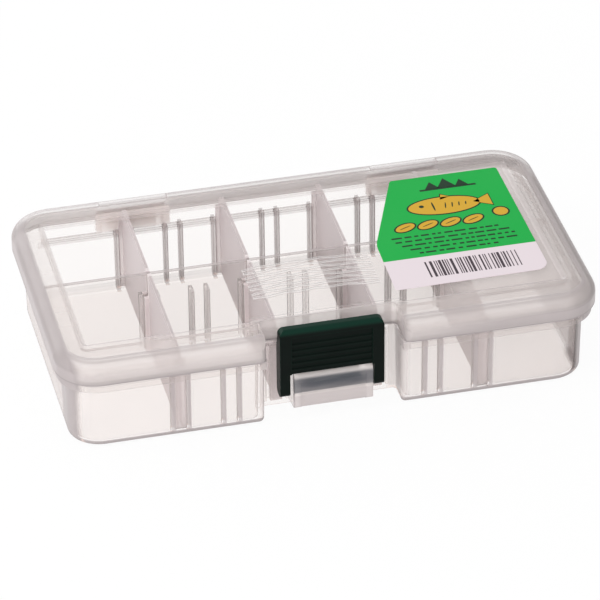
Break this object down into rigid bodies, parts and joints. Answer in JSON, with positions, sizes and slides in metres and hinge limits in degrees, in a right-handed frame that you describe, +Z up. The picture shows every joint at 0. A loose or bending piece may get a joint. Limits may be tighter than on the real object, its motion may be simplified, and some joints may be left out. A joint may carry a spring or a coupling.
{
  "type": "fly box",
  "caption": "Slim clear plastic fly box with a hinged lid, a dark snap latch in a front recess and lift-out dividers in two rows.",
  "frame": {"origin": "centre of the bounding box's footprint, on the flat underside of the tray", "axes": "+X along the length to the right of the latch, +Y from the latch to the hinges, +Z up through the lid"},
  "size_m": [0.161, 0.0907, 0.031],
  "materials": {
    "clear_plastic": "milky clear moulded polypropylene, softly glossy",
    "divider_plastic": "milky clear moulded polypropylene, fine satin",
    "latch_plastic": "dark green moulded polypropylene",
    "label_paper": "gloss-coated printed sticker"
  },
  "bodies": {
    "tray": {"base_tray": "clear_plastic", "divider_front_1": "divider_plastic", "divider_front_2": "divider_plastic", "divider_front_3": "divider_plastic", "divider_front_4": "divider_plastic", "divider_rear_1": "divider_plastic", "divider_rear_2": "divider_plastic", "divider_rear_3": "divider_plastic", "divider_rear_4": "divider_plastic"},
    "lid": {"lid": "clear_plastic", "label": "label_paper"},
    "latch": {"latch": "latch_plastic"}
  },
  "joints": [
    {"name": "lid_hinge", "type": "hinge", "parent": "tray", "child": "lid", "pos_m": [0, 0.0436, 0.023], "axis": [-1, 0, 0], "range_deg": [0, 170]},
    {"name": "latch_hinge", "type": "hinge", "parent": "tray", "child": "latch", "pos_m": [0, -0.0393, 0.0134], "axis": [1, 0, 0], "range_deg": [0, 90]}
  ]
}
